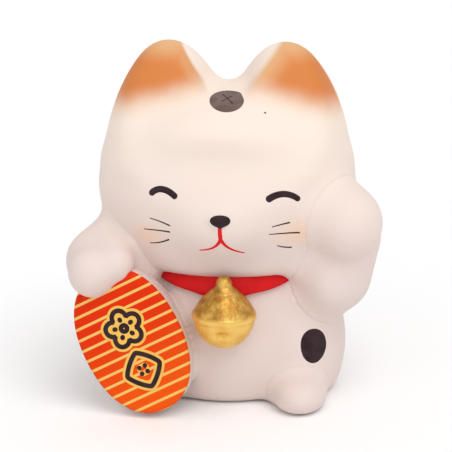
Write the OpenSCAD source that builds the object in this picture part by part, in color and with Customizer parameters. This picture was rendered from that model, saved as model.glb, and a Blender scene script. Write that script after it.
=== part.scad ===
// Beckoning cat: a small slip-cast ceramic coin bank.
// z = 0 is the table, the cat faces -Y, and +X is the side of its raised paw.

/* [Head] */
// Half width of the head at the cheeks
head_rx = 38.2; // [37:0.1:39]
// Half depth of the head
head_ry = 33; // [31:0.1:35]
// Half height of the skull, without the ears
head_rz = 26; // [25:0.1:27]
// Height of the skull's centre above the table
head_z = 62.6; // [61:0.1:64]
// Half width of the jaw
jaw_rx = 34.5; // [33:0.1:36]
// Height of the chin's flat underside
chin_z = 39.6; // [38:0.1:41]
// Sideways tilt of the head, in degrees
head_tilt = 0.3; // [0:0.1:2]
// Thickness of the cast walls
wall = 3.5; // [3:0.1:4]

/* [Ears] */
// Half height of the egg that the ears are cut from
ear_egg_rz = 49.8; // [48:0.1:51]
// Height of a point on the ears' inner faces, near the saddle between them
ear_gap_z = 93.9; // [93:0.1:95]
// Slope of the ears' inner faces, in degrees
ear_slope = 60; // [55:1:65]

/* [Body] */
// Half width of the belly
belly_rx = 27; // [25:0.1:28]
// Half depth of the belly
belly_ry = 23.5; // [22:0.1:25]
// Distance of each hip from the middle
hip_x = 19.3; // [18:0.1:21]
// Half width of each hip
hip_rx = 16.5; // [15:0.1:18]

/* [Raised arm] */
// Distance of the raised paw from the middle
raised_paw_x = 35.4; // [34:0.1:36]
// Height of the raised paw's centre
raised_paw_z = 55; // [53:0.1:56]
// Height of the elbow's centre
elbow_z = 37.5; // [36:0.1:39]

/* [Lowered arm] */
// Distance of the lowered paw from the middle
lowered_paw_x = 36.8; // [36:0.1:38]
// Height of the lowered paw's centre
lowered_paw_z = 41; // [40:0.1:42]

/* [Feet and tail] */
// Distance of each foot from the middle
foot_x = 22.8; // [22:0.1:25]
// Half width of a foot
foot_rx = 8; // [7:0.1:9]
// Half thickness of the tail
tail_r = 5.2; // [4.5:0.1:6]

/* [Collar and bell] */
// Height of the collar band
collar_h = 7; // [6:0.1:8]
// How far the collar stands out of the chest
collar_relief = 1.8; // [1.4:0.1:2.4]
// Radius of the bell at its rim
bell_r = 9.2; // [9:0.1:10]
// Height of the bell's rim above the table
bell_rim_z = 30; // [29:0.1:31]

/* [Tablet] */
// Half width of the oval tablet
tablet_rx = 14.9; // [14:0.1:16]
// Half height of the oval tablet
tablet_rz = 21.9; // [21:0.1:23]
// Thickness of the tablet
tablet_t = 9; // [8:0.1:10]
// Thickness of the printed transfer
transfer_t = 0.3; // [0.2:0.05:0.4]

/* [Base and openings] */
// Diameter of the stopper's hole in the floor
hole_d = 25; // [24:0.1:26]
// Diameter of the shallow recess round that hole
recess_d = 33; // [32:0.1:34]
// Depth of the recess
recess_depth = 2.4; // [2.2:0.1:3]
// Thickness of the floor between recess and chamber
floor_t = 3.2; // [3:0.1:4]
// Length of the coin slot
slot_l = 30; // [28:0.5:32]
// Height of the coin slot
slot_h = 5; // [4.6:0.1:5.4]
// Height of the coin slot's middle above the table
slot_z = 74; // [70:0.5:76]
// Diameter of the throat between head and body
throat_d = 25; // [24:0.1:26]

/* [Hidden] */

CERAMIC = "#f1e4df";
RED = "#c41c22";
GOLD = "#d9a441";
VERMILION = "#e23c10";
SOFT_PLASTIC = "#e8e6df";

FAR = 200;              // larger than the whole cat
BISECTIONS = 13;        // halvings when a surface point is looked for
tilt_pivot = [-0.35, 0, 45];
jaw_c = [0, -2, 52.4];
brow_c = [0, -7, head_z + 14.4];
muzzle_c = [0, -27, head_z - 5];
egg_c = [0, 0.5, 64.2];
chamber_floor_z = recess_depth + floor_t;
collar_c = [0, -25, 38.4];   // middle of the band at the front
collar_rise = 3.4;      // degrees by which the band climbs towards the back
stopper_clearance = 0.3;
stopper_r = hole_d / 2 - stopper_clearance;
flange_r = recess_d / 2 - 0.8;
flange_t = 1.5;
lip_h = 1.6;            // lip that snaps in above the floor
tablet_c = [-24.9, -28.2, 21.8];
tablet_turn = [-8, -28.4, -6];   // leans back, tips sideways, faces outwards
tablet_square = 2.2;    // power of the tablet's oval, where 2 is an ellipse

// ---------- signed gaps: negative inside a form, positive outside ----------

// Gap to an ellipsoid with centre c and half axes r
function ellipsoid_gap(p, c, r) =
    let (q = p - c,
         k0 = norm([q.x / r.x, q.y / r.y, q.z / r.z]),
         k1 = norm([q.x / (r.x * r.x), q.y / (r.y * r.y), q.z / (r.z * r.z)]))
    k0 * (k0 - 1) / max(k1, 0.000001);

// Gap to a limb from a to b whose radius goes from ra to rb
function limb_gap(p, a, b, ra, rb) =
    let (d = b - a, t = min(max((p - a) * d / (d * d), 0), 1))
    norm(p - a - d * t) - ra - (rb - ra) * t;

// Gap to the half space behind the plane through c that faces along n
function plane_gap(p, c, n) = (p - c) * n / norm(n);

// Both forms joined with a fillet of about k
function join(a, b, k) = let (h = max(k - abs(a - b), 0) / k) min(a, b) - h * h * k / 4;

// What lies in both forms, with the edge between them rounded by about k
function common(a, b, k) = -join(-a, -b, k);

// The same point seen from the other side of the cat
function flip(p, side) = [side * p.x, p.y, p.z];

// A point brought into the head's own upright frame
function to_head(p) =
    let (q = p - tilt_pivot, c = cos(head_tilt), s = sin(head_tilt))
    [c * q.x - s * q.z, q.y, s * q.x + c * q.z + tilt_pivot.z];

// Crown, a jaw with a flat underside, brow and muzzle
function skull_gap(p) =
    let (crown = ellipsoid_gap(p, [0, 0.5, head_z], [head_rx, head_ry, head_rz]),
         jaw = common(ellipsoid_gap(p, jaw_c, [jaw_rx, 26, 32]), chin_z - p.z, 4),
         brow = ellipsoid_gap(p, brow_c, [24, 21, 14]),
         muzzle = ellipsoid_gap(p, muzzle_c, [11, 9, 7]))
    join(join(join(crown, jaw, 6), brow, 10), muzzle, 9);

// Ears: the top of a tall egg, cut by an inner, a back, a front and a lower plane
function ear_gap(p) =
    let (egg = ellipsoid_gap(p, egg_c, [head_rx - 1.3, head_ry + 0.5, ear_egg_rz]),
         inner = plane_gap(p, [5, -2, ear_gap_z], [-sin(ear_slope), -0.25, cos(ear_slope)]),
         back = plane_gap(p, [17, 8, ear_gap_z - 3.5], [0, 0.93, 0.36]),
         front = plane_gap(p, [17, -14.5, ear_gap_z - 2.5], [0.10, -0.90, 0.42]))
    common(common(common(common(egg, inner, 14.5), back, 6), front, 3), head_z + 6 - p.z, 4);

function head_gap(p) =
    let (q = to_head(p))
    join(join(skull_gap(q), ear_gap(flip(q, -1)), 3.8), ear_gap(q), 3.8);

function torso_gap(p) =
    let (chest = ellipsoid_gap(p, [0, 1, 24], [25, 26.5, 30]),
         belly = ellipsoid_gap(p, [0, -1, 10], [belly_rx, belly_ry, 22]),
         shoulders = ellipsoid_gap(p, [0, 0, 33], [30, 20, 13]),
         hip = ellipsoid_gap(flip(p, sign(p.x)), [hip_x, -3, 14.4], [hip_rx, 21, 24]))
    common(join(join(join(chest, belly, 8), shoulders, 8), hip, 5), -0.4 - p.z, 3);

function raised_arm_gap(p) =
    let (elbow = ellipsoid_gap(p, [30.4, -13, elbow_z], [7.8, 12.5, 10]),
         forearm = limb_gap(p, [32.9, -12.5, elbow_z + 0.5], [35.4, -12.5, elbow_z + 12], 10.2, 10.2),
         paw = ellipsoid_gap(p, [raised_paw_x, -17.5, raised_paw_z], [10.5, 12, 10.9]))
    join(join(elbow, forearm, 6), paw, 1.5);

function lowered_arm_gap(p) =
    let (upper = limb_gap(p, [-28.2, -8, 51.8], [-37.1, -14, 40.8], 7.7, 8.8),
         paw = limb_gap(p, [-37.1, -14, 40.8], [-lowered_paw_x, -26.5, lowered_paw_z], 8.5, 7.3),
         thumb = limb_gap(p, [-33.4, -14.5, 46.6], [-30.4, -26.5, 43.6], 6, 5.4))
    join(join(upper, paw, 4), thumb, 2);

function foot_gap(p) = ellipsoid_gap(p, [foot_x, -21.9, 4.4], [foot_rx, 11.3, 7]);

function tail_gap(p) =
    join(limb_gap(p, [3, 22, 7], [12, 27.5, 8], tail_r + 0.6, tail_r),
         limb_gap(p, [12, 27.5, 8], [17.5, 25.5, 16], tail_r, tail_r - 0.9), 3);

// Chambers keep one wall's thickness inside the outer form
function head_chamber_gap(p) = head_gap(p) + wall;
function body_chamber_gap(p) =
    max(torso_gap(p) + wall, wall - head_gap(p), chamber_floor_z - p.z);

// ---------- solids from gaps ----------

// Distance along ray d from c at which the gap changes sign, by halving
function reach(c, d, gap, near, far, steps) =
    let (mid = (near + far) / 2)
    steps == 0 ? mid
    : gap(c + d * mid) < 0 ? reach(c, d, gap, mid, far, steps - 1)
    : reach(c, d, gap, near, mid, steps - 1);

// Closed solid whose points lie where rays from c leave the form
module star_solid(c, size, cols, rows, gap) {
    rays = [for (i = [1 : rows - 1]) for (j = [0 : cols - 1])
        let (a = 360 * j / cols, b = 180 * i / rows - 90) [cos(b) * cos(a), cos(b) * sin(a), sin(b)]];
    all_rays = concat([[0, 0, -1]], rays, [[0, 0, 1]]);
    points = [for (d = all_rays) c + d * reach(c, d, gap, 0, size, BISECTIONS)];
    top = len(points) - 1;
    last_ring = top - cols;
    bottom_fan = [for (j = [0 : cols - 1]) [0, 1 + j, 1 + (j + 1) % cols]];
    top_fan = [for (j = [0 : cols - 1]) [top, last_ring + (j + 1) % cols, last_ring + j]];
    bands = [for (i = [0 : rows - 3]) for (j = [0 : cols - 1])
        let (a = 1 + i * cols + j, b = 1 + i * cols + (j + 1) % cols)
        each [[a, a + cols, b], [b, a + cols, b + cols]]];
    polyhedron(points, concat(bottom_fan, bands, top_fan), convexity = 6);
}

module above_table() {
    translate([-FAR / 2, -FAR / 2, 0]) cube(FAR);
}

module head_form() star_solid([0, 0, 62], 60, 56, 40, function (p) head_gap(p));

module torso_form() {
    intersection() {
        star_solid([0, 0, 20], 60, 60, 27, function (p) torso_gap(p));
        above_table();
    }
}

module raised_arm_form() star_solid([33.5, -14.5, 45], 40, 28, 22, function (p) raised_arm_gap(p));

module lowered_arm_form() star_solid([-35, -13, 42], 40, 28, 22, function (p) lowered_arm_gap(p));

module foot_form(side) {
    intersection() {
        star_solid([side * foot_x, -21.9, 4.4], 30, 28, 16, function (p) foot_gap(flip(p, side)));
        above_table();
    }
}

// The chest's outer form, grown by the collar's relief and kept inside a tilted slab
module collar_form() {
    intersection() {
        star_solid([0, 0, 21], 60, 50, 30, function (p) torso_gap(p) - collar_relief);
        translate(collar_c) rotate([collar_rise, 0, 0]) cube([FAR, FAR, collar_h], center = true);
    }
}

// Reach of the tablet's outline along one axis, as a share of its half size
function oval(share) = sign(share) * pow(abs(share), 2 / tablet_square);

// Oval plate, drawn flat and stood up with its face towards -Y
module oval_plate(grow, from, to) {
    translate(tablet_c) rotate([0, 0, tablet_turn.z]) rotate([tablet_turn.x, 0, 0])
        rotate([0, tablet_turn.y, 0]) rotate([90, 0, 0])
            translate([0, 0, from]) linear_extrude(to - from)
                polygon([for (a = [0 : 5 : 355])
                    [(tablet_rx + grow) * oval(cos(a)), (tablet_rz + grow) * oval(sin(a))]]);
}

module tablet_form() oval_plate(0, -tablet_t / 2, tablet_t / 2);

// Everything in front of the tablet's back, kept free of the foot behind it
module tablet_front_space() oval_plate(1, -tablet_t / 2, 30);

module bell_profile() {
    knob_z = 8;
    knob_r = 2.4;
    polygon(concat(
        [[0, -bell_r - 0.4]],
        [for (a = [-75 : 15 : -15]) [bell_r * cos(a) - 0.4, (bell_r + 0.4) * sin(a)]],
        [[bell_r - 0.5, -0.9], [bell_r, -0.6], [bell_r, 0.6], [bell_r - 0.5, 0.9]],
        [for (t = [0.2 : 0.2 : 0.8])
            [(bell_r - 0.5) * (1 - t) + knob_r * t + 1.3 * sin(180 * t), 0.9 + (knob_z - 0.9) * t]],
        [for (a = [-30 : 30 : 60]) [knob_r * cos(a), knob_z + 1.2 + knob_r * sin(a)]],
        [[0, knob_z + 1.2 + knob_r]]));
}

module bell_form() {
    translate([0.6, -30, bell_rim_z]) rotate_extrude($fn = 48) bell_profile();
}

module tail_form() star_solid([11, 26, 9], 30, 24, 18, function (p) tail_gap(p));

// ---------- the pieces ----------

module head_casting() {
    color(CERAMIC) resize([0, 0, 0]) difference() {
        head_form();
        star_solid([0, 0, 62], 60, 36, 28, function (p) head_chamber_gap(p));
        cylinder(d = throat_d, h = head_z, $fn = 48);
        translate([-slot_l / 2, 0, slot_z - slot_h / 2]) cube([slot_l, FAR / 2, slot_h]);
    }
}

module body_casting() {
    color(CERAMIC) difference() {
        resize([0, 0, 0]) difference() {
            torso_form();
            head_form();
            star_solid([0, 0, 20], 60, 40, 24, function (p) body_chamber_gap(p));
            translate([0, 0, 20]) cylinder(d = throat_d, h = head_z, $fn = 48);
        }
        translate([0, 0, -1]) cylinder(d = recess_d, h = recess_depth + 1, $fn = 96);
        translate([0, 0, -1]) cylinder(d = hole_d, h = chamber_floor_z + 2, $fn = 96);
    }
}

module raised_arm() {
    color(CERAMIC) resize([0, 0, 0]) difference() {
        raised_arm_form();
        head_form();
        torso_form();
        collar_form();
    }
}

module lowered_arm() {
    color(CERAMIC) resize([0, 0, 0]) difference() {
        lowered_arm_form();
        head_form();
        torso_form();
        collar_form();
        tablet_form();
    }
}

module left_foot() {
    color(CERAMIC) resize([0, 0, 0]) difference() {
        foot_form(1);
        torso_form();
    }
}

module right_foot() {
    color(CERAMIC) resize([0, 0, 0]) difference() {
        foot_form(-1);
        torso_form();
        tablet_front_space();
    }
}

module tail() {
    color(CERAMIC) resize([0, 0, 0]) difference() {
        tail_form();
        torso_form();
    }
}

module collar() {
    color(RED) resize([0, 0, 0]) difference() {
        collar_form();
        torso_form();
        head_form();
    }
}

module bell() {
    color(GOLD) resize([0, 0, 0]) difference() {
        bell_form();
        torso_form();
        collar_form();
    }
}

module koban_tablet() {
    color(CERAMIC) resize([0, 0, 0]) difference() {
        tablet_form();
        torso_form();
        collar_form();
    }
}

module koban_transfer() {
    color(VERMILION) resize([0, 0, 0]) difference() {
        oval_plate(-0.1, tablet_t / 2, tablet_t / 2 + transfer_t);
        lowered_arm_form();
    }
}

// Soft plug: a flange in the recess, a shank in the hole and a rounded lip above the floor
module stopper() {
    flange_z = recess_depth - flange_t;
    lip_z = chamber_floor_z + stopper_clearance;
    color(SOFT_PLASTIC) rotate_extrude($fn = 96) polygon([
        [0, flange_z],
        [flange_r, flange_z],
        [flange_r, recess_depth - stopper_clearance / 2],
        [stopper_r, recess_depth - stopper_clearance / 2],
        [stopper_r, lip_z + lip_h / 2],
        [stopper_r - 0.8, lip_z + lip_h],
        [0, lip_z + lip_h]]);
}

head_casting();
body_casting();
raised_arm();
lowered_arm();
left_foot();
right_foot();
tail();
collar();
bell();
koban_tablet();
koban_transfer();
stopper();
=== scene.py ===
"""Looks of a small hand-painted ceramic beckoning cat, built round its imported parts.

Every form is a signed gap in millimetres: negative inside, positive outside. The cat's
members are joined with soft fillets into one skin, and each casting is the stretch of that
skin that belongs to it, closed inside its neighbours.
"""

from __future__ import annotations

import logging
import math
from dataclasses import dataclass, field
from enum import Enum
from typing import Callable, Sequence

import bpy
import numpy as np
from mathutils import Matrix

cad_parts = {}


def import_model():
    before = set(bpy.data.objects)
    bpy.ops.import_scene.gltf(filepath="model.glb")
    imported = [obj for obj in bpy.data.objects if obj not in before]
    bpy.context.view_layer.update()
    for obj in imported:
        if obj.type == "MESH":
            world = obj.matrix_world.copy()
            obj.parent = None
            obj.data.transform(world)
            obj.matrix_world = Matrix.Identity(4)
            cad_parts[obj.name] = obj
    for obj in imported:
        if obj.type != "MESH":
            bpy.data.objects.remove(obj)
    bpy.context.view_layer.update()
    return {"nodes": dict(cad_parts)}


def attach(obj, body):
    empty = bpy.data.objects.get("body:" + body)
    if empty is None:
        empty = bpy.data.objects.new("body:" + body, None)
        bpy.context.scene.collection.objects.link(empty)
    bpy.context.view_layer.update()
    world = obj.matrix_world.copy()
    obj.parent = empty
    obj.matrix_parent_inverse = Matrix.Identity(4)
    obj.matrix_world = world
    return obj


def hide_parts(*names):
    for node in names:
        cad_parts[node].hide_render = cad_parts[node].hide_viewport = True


Points = np.ndarray
Gap = Callable[[Points], np.ndarray]
Pair = tuple[float, float]
Triple = tuple[float, float, float]
Colour = tuple[float, float, float, float]

MM = 0.001  # metres in a millimetre
BODY = "cat"  # the body that every casting and every stroke of paint rides on
FAR = 60.0  # outside the cat from the middle of any casting
HALVINGS = 13  # steps that bring a ray from FAR to under a hundredth of a millimetre
SINK = 0.2  # depth of a stroke's underside in its ground
FILM = 0.06  # thickness of the printed film
TURNS = np.radians(np.arange(150) * 2.4)  # angles round a closed stroke of a crest
log = logging.getLogger("beckoning_cat")


class Side(Enum):
    """The cat's own side, as the sign of x."""

    RIGHT = -1.0
    LEFT = 1.0


# ---------------------------------------------------------------- signed gaps


def ellipsoid_gap(p: Points, centre: Triple, radii: Triple) -> np.ndarray:
    """Gap to an ellipsoid: k0 (k0 - 1) / k1, with the point scaled once and twice by the radii.

    Args:
        p: points, last axis x, y, z.
        centre: middle of the ellipsoid.
        radii: its three half axes.

    Returns:
        The gap at each point.
    """
    q = (p - np.array(centre)) / np.array(radii)
    k0 = np.sqrt((q * q).sum(-1))
    q /= np.array(radii)
    k1 = np.sqrt((q * q).sum(-1))
    return k0 * (k0 - 1.0) / np.maximum(k1, 1e-9)


def limb_gap(p: Points, start: Triple, end: Triple, radius: float, end_radius: float) -> np.ndarray:
    """Gap to a limb: distance to the segment less a radius that runs from one end's to the other's.

    Args:
        p: points.
        start: first end of the limb's axis.
        end: other end of the axis.
        radius: radius at the start.
        end_radius: radius at the end.

    Returns:
        The gap at each point.
    """
    a, d = np.array(start), np.array(end) - np.array(start)
    t = np.clip((p - a) @ d / (d @ d), 0.0, 1.0)
    return np.linalg.norm(p - a - t[..., None] * d, axis=-1) - radius - (end_radius - radius) * t


def plane_gap(p: Points, point: Triple, normal: Triple) -> np.ndarray:
    """Gap to the half space behind a plane: the distance in front of it, along its unit normal."""
    n = np.array(normal)
    return (p - np.array(point)) @ (n / np.linalg.norm(n))


def join(a: np.ndarray, b: np.ndarray, k: float) -> np.ndarray:
    """Union with a fillet of about k: the smaller gap less a quarter of h squared times k."""
    h = np.maximum(k - np.abs(a - b), 0.0) / k
    return np.minimum(a, b) - h * h * k / 4.0


def common(a: np.ndarray, b: np.ndarray, k: float) -> np.ndarray:
    """What lies in both forms, the edge between them rounded by about k."""
    return -join(-a, -b, k)


def flipped(p: Points) -> Points:
    """The same points seen from the other side of the cat."""
    return p * np.array((-1.0, 1.0, 1.0))


def ease(t: np.ndarray) -> np.ndarray:
    """Smooth step: 3 t squared less 2 t cubed, with t kept between 0 and 1."""
    t = np.clip(t, 0.0, 1.0)
    return t * t * (3.0 - 2.0 * t)


def boxy(t: np.ndarray, power: float) -> np.ndarray:
    """The sign of t times its size to a power: below 1 it squares off a sine or a cosine."""
    return np.sign(t) * np.abs(t) ** power


def slope(gap: Gap, p: Points, step: float = 0.05) -> np.ndarray:
    """Outward unit normals: central differences of the gap along x, y and z, made unit long.

    Args:
        gap: the form.
        p: points near its surface.
        step: half the distance that a difference spans.

    Returns:
        The normals, one a point.
    """
    grads = [gap(p + step * e) - gap(p - step * e) for e in np.eye(3)]
    n = np.stack(grads, -1)
    return n / np.maximum(np.linalg.norm(n, axis=-1, keepdims=True), 1e-9)


# ---------------------------------------------------------------- grids to meshes


def ray_grid(bottom: float, top: float, rows: int, columns: int) -> np.ndarray:
    """Unit rays on a grid: rows from one height angle to another, columns round from +X.

    Args:
        bottom: height angle of the first row, in degrees.
        top: height angle of the last row.
        rows: number of rows.
        columns: number of columns.

    Returns:
        Rays of shape (rows, columns, 3).
    """
    b = np.radians(np.linspace(bottom, top, rows))[:, None]
    a = np.radians(np.arange(columns) * 360.0 / columns)[None, :]
    return np.stack([np.cos(b) * np.cos(a), np.cos(b) * np.sin(a), np.sin(b) + 0.0 * a], -1)


def cast(centre: Triple | Points, rays: np.ndarray, gap: Gap, far: float = FAR) -> np.ndarray:
    """Points where rays from a centre leave a form, by halving and one straight-line step.

    Args:
        centre: a point inside the form, or one for each ray.
        rays: unit rays.
        gap: the form.
        far: a distance that is outside the form along every ray.

    Returns:
        One point per ray.
    """
    c = np.asarray(centre)
    near, out = np.zeros(rays.shape[:-1]), np.full(rays.shape[:-1], far)
    for _ in range(HALVINGS):
        mid = (near + out) / 2.0
        inside = gap(c + rays * mid[..., None]) < 0.0
        near, out = np.where(inside, mid, near), np.where(inside, out, mid)
    g0, g1 = gap(c + rays * near[..., None]), gap(c + rays * out[..., None])
    t = near + (out - near) * np.clip(g0 / np.where(g0 == g1, -1.0, g0 - g1), 0.0, 1.0)
    return c + rays * t[..., None]


def quads(rows: int, columns: int, wrap: bool = False) -> np.ndarray:
    """Faces of a grid that closes round its columns, anticlockwise where the rows run upward.

    Args:
        rows: number of rows.
        columns: number of columns.
        wrap: True if the last row joins the first.

    Returns:
        Vertex numbers of shape (bands, columns, 4).
    """
    i = np.arange(rows if wrap else rows - 1)[:, None]
    j = np.arange(columns)[None, :]
    k, m = (i + 1) % rows, (j + 1) % columns
    return np.stack([i * columns + j, i * columns + m, k * columns + m, k * columns + j], -1)


def new_object(name: str, vertices: np.ndarray, faces: Sequence[np.ndarray]) -> bpy.types.Object:
    """A smooth-shaded mesh object from vertices in millimetres, its faces turned outwards.

    The sum of a . (b x c) over the triangles is six times the volume, and its sign says which
    way they face.

    Args:
        name: the piece's name.
        vertices: array (n, 3), in millimetres.
        faces: arrays of vertex numbers, three or four a face.

    Returns:
        The object, linked to the scene, its place in its mesh.
    """
    mesh = bpy.data.meshes.new(name)
    volume = 0.0
    for block in faces:
        a, b, c, d = (vertices[block[:, i]] for i in (0, 1, 2, -1))
        volume += (a * np.cross(b, c)).sum() + (a * np.cross(c, d)).sum() * (block.shape[1] == 4)
    turn = 1 if volume > 0 else -1
    flat = [f for block in faces for f in block[:, ::turn].tolist()]
    mesh.from_pydata((vertices * MM).tolist(), [], flat)
    mesh.polygons.foreach_set("use_smooth", np.ones(len(mesh.polygons), bool))
    mesh.update()
    piece = bpy.data.objects.new(name, mesh)
    bpy.context.scene.collection.objects.link(piece)
    return piece


def grid_object(
    name: str,
    rows: np.ndarray,
    first_pole: np.ndarray | None = None,
    last_pole: np.ndarray | None = None,
    wrap: bool = False,
    keep: np.ndarray | None = None,
    extra: np.ndarray | None = None,
) -> bpy.types.Object:
    """A closed surface from a grid of points, with fans to its poles.

    Args:
        name: the piece's name.
        rows: points of shape (rows, columns, 3).
        first_pole: point that closes the first row, if any.
        last_pole: point that closes the last row, if any.
        wrap: True if the last row joins the first.
        keep: mask (bands, columns) of the faces to keep.
        extra: further faces, as vertex numbers.

    Returns:
        The piece.
    """
    r, c = rows.shape[:2]
    faces = quads(r, c, wrap)
    blocks = [faces[keep] if keep is not None else faces.reshape(-1, 4)]
    points = [rows.reshape(-1, 3)]
    j = np.arange(c)
    if first_pole is not None:
        pole = np.full(c, r * c)
        blocks.append(np.stack([pole, (j + 1) % c, j], -1))
        points.append(np.reshape(first_pole, (1, 3)))
    if last_pole is not None:
        pole = np.full(c, r * c + len(points) - 1)
        last = (r - 1) * c
        blocks.append(np.stack([last + j, last + (j + 1) % c, pole], -1))
        points.append(np.reshape(last_pole, (1, 3)))
    if extra is not None:
        blocks.append(extra)
    return new_object(name, np.concatenate(points), blocks)


def dress(piece: bpy.types.Object, material: bpy.types.Material, slot: str, *nodes: str) -> None:
    """Gives a piece its material and its body, and hides the nodes that it stands for.

    Args:
        piece: the piece.
        material: its finish.
        slot: a material slot's name; not used.
        nodes: nodes that it replaces.
    """
    piece.data.materials.append(material)
    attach(piece, BODY)
    if nodes:
        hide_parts(*nodes)
    log.info("%s: %d faces", piece.name, len(piece.data.polygons))


# ---------------------------------------------------------------- finishes


class Shader:
    """Builds one material's nodes with short calls."""

    def __init__(self, name: str) -> None:
        """Starts an empty node tree with a Principled surface.

        Args:
            name: the material's name.
        """
        self.material = bpy.data.materials.new(name)
        self.material.use_nodes = True
        self.tree = self.material.node_tree
        self.surface = self.tree.nodes["Principled BSDF"]
        self.place = self.tree.nodes.new("ShaderNodeTexCoord").outputs["Object"]

    def node(
        self, kind: str, inputs: dict[str | int, object] | None = None, **settings: object
    ) -> bpy.types.ShaderNode:
        """Adds a node.

        Args:
            kind: node type, without the ShaderNode prefix.
            inputs: socket name or number to a value or to another node's socket.
            settings: the node's own properties.

        Returns:
            The node.
        """
        n = self.tree.nodes.new("ShaderNode" + kind)
        for key, value in settings.items():
            setattr(n, key, value)
        for key, value in (inputs or {}).items():
            if isinstance(value, bpy.types.NodeSocket):
                self.tree.links.new(value, n.inputs[key])
            else:
                n.inputs[key].default_value = value
        return n

    def math(
        self, operation: str, a: object, b: object = 0.0, c: object = 0.5
    ) -> bpy.types.NodeSocket:
        """Result of one Math node; only a three-part operation, such as MULTIPLY_ADD, reads c."""
        return self.node("Math", {0: a, 1: b, 2: c}, operation=operation).outputs[0]

    def ramp(self, value: object, low: float, high: float) -> bpy.types.NodeSocket:
        """Goes smoothly from 0 at low to 1 at high.

        Args:
            value: what is followed.
            low: its value where the ramp is 0.
            high: its value where the ramp is 1.

        Returns:
            The ramp's socket.
        """
        n = self.node("MapRange", {"Value": value, "From Min": low, "From Max": high},
                      interpolation_type="SMOOTHSTEP")
        return n.outputs["Result"]

    def mix(self, share: object, a: object, b: object) -> bpy.types.NodeSocket:
        """Colour a where share is 0 and b where it is 1."""
        n = self.node("Mix", {0: share, 6: a, 7: b}, data_type="RGBA")
        return n.outputs[2]

    def noise(
        self, scale: float, detail: float = 3.0, place: object = None
    ) -> bpy.types.NodeSocket:
        """Noise of a given scale on the object's own coordinates."""
        inputs = {"Vector": place or self.place, "Scale": scale, "Detail": detail}
        return self.node("TexNoise", inputs).outputs["Fac"]

    def along(self, point: Triple, normal: Triple) -> bpy.types.NodeSocket:
        """Distance in front of a plane, in millimetres.

        Args:
            point: a point on the plane.
            normal: the way it faces, of any length.

        Returns:
            The distance's socket.
        """
        n = np.array(normal) / np.linalg.norm(normal)
        dot = self.node("VectorMath", {0: self.place, 1: tuple(n)}, operation="DOT_PRODUCT")
        return self.math("SUBTRACT", self.math("MULTIPLY", dot.outputs["Value"], 1.0 / MM),
                         float(n @ np.array(point)))

    def local(self, centre: Triple, units: Triple, turn: Triple) -> bpy.types.NodeSocket:
        """Coordinates in a frame placed and turned on the object.

        Args:
            centre: the frame's origin, in millimetres.
            units: millimetres that count as 1 along each of its axes.
            turn: its turn about x, y and z, in degrees.

        Returns:
            The coordinates' socket.
        """
        inputs = {
            "Vector": self.place,
            "Location": tuple(v * MM for v in centre),
            "Rotation": tuple(math.radians(v) for v in turn),
            "Scale": tuple(v * MM for v in units),
        }
        return self.node("Mapping", inputs, vector_type="TEXTURE").outputs[0]

    def spray(
        self, centre: Triple, radii: Triple, turn: Triple, soft: float
    ) -> bpy.types.NodeSocket:
        """An airbrushed patch: 1 inside a turned ellipsoid, fading to 0 over its soft rim.

        Args:
            centre: middle of the patch, in millimetres.
            radii: its half axes.
            turn: its turn about x, y and z, in degrees.
            soft: share of the radius over which it fades.

        Returns:
            The mask's socket.
        """
        local = self.local(centre, radii, turn)
        length = self.node("VectorMath", {0: local}, operation="LENGTH").outputs["Value"]
        return self.ramp(length, 1.0, 1.0 - soft)

    def bump(self, height: object, distance: float) -> None:
        """Raises the surface's shading by a height map, with the distance in millimetres."""
        n = self.node("Bump", {"Height": height, "Distance": distance * MM, "Strength": 1.0})
        self.tree.links.new(n.outputs["Normal"], self.surface.inputs["Normal"])

    def finish(self, colour: object, roughness: float, **sockets: object) -> bpy.types.Material:
        """Sets the surface's colour and its constant sockets.

        Args:
            colour: a colour or a socket.
            roughness: roughness value or socket.
            sockets: further Principled inputs, with _ for a space.

        Returns:
            The material.
        """
        for key, value in {"Base Color": colour, "Roughness": roughness,
                           **{k.replace("_", " "): v for k, v in sockets.items()}}.items():
            if isinstance(value, bpy.types.NodeSocket):
                self.tree.links.new(value, self.surface.inputs[key])
            else:
                self.surface.inputs[key].default_value = value
        return self.material


@dataclass(frozen=True)
class Spray:
    """One airbrushed patch on the ceramic."""

    centre: Triple
    radii: Triple
    turn: Triple
    soft: float
    strength: float


@dataclass(frozen=True)
class EarPaint:
    """Airbrushed ear front: crisp against the ear's inner edge, soft below and behind.

    Its distances run from the inner edge's plane, from a line that falls outwards across the
    brow, from the ear's back and from its tip.
    """

    side: Side
    edge_point: Triple
    edge_normal: Triple
    foot_z: float = 99.2
    foot_fall: float = 0.28
    fade: float = 8.8
    tip_z: float = 104.5
    tip_fade: float = 6.0
    soft: float = 0.8
    thin_reach: float = 4.0
    thin_share: float = 0.55


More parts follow.
